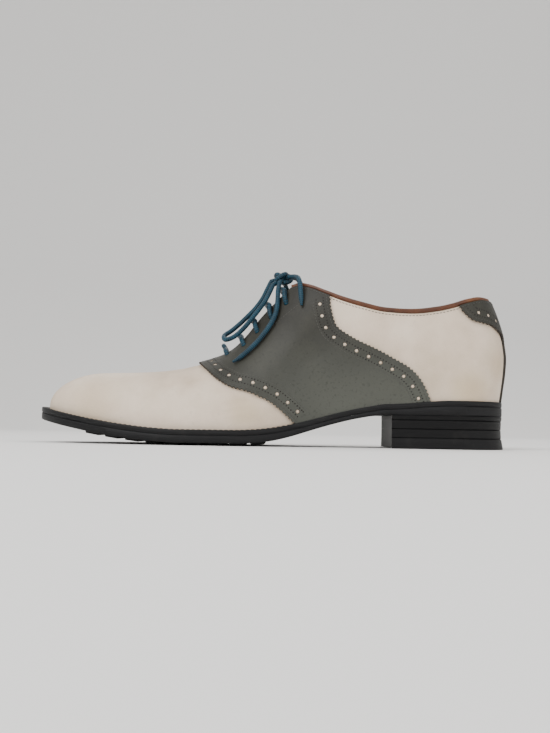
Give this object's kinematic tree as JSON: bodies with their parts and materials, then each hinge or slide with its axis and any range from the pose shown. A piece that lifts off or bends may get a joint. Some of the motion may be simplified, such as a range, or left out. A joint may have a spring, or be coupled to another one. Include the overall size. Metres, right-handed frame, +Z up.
{
  "type": "saddle shoe",
  "caption": "Left laced saddle shoe with a hollow upper, contrasting saddle and heel tab, stacked heel, lugged forefoot and a tied round lace.",
  "frame": {"origin": "middle of the heel's face on the floor", "axes": "+X towards the back of the shoe with the toe at -X, +Y towards the medial side, +Z up"},
  "size_m": [0.2931, 0.1038, 0.1104],
  "materials": {
    "white_leather": "off-white smooth leather, satin",
    "grey_leather": "olive-grey smooth leather, satin",
    "brown_leather": "brown lining leather, satin",
    "tan_leather": "tan leather, matt",
    "black_rubber": "black, satin",
    "lace_cord": "round braided cord, dark teal-blue"
  },
  "bodies": {
    "root": {"upper": "white_leather", "saddle": "grey_leather", "heel_tab": "grey_leather", "collar_binding": "brown_leather", "tongue": "tan_leather", "insole": "brown_leather", "welt": "black_rubber", "outsole": "black_rubber", "heel_rand": "black_rubber", "heel_lift_1": "black_rubber", "heel_lift_2": "black_rubber", "top_lift": "black_rubber", "lace_bar_1": "lace_cord", "lace_bar_2": "lace_cord", "lace_bar_3": "lace_cord", "lace_bar_4": "lace_cord", "lace_bar_5": "lace_cord", "lace_knot": "lace_cord", "lace_loop_front": "lace_cord", "lace_loop_back": "lace_cord", "lace_end_long": "lace_cord", "lace_end_short": "lace_cord"}
  },
  "joints": []
}
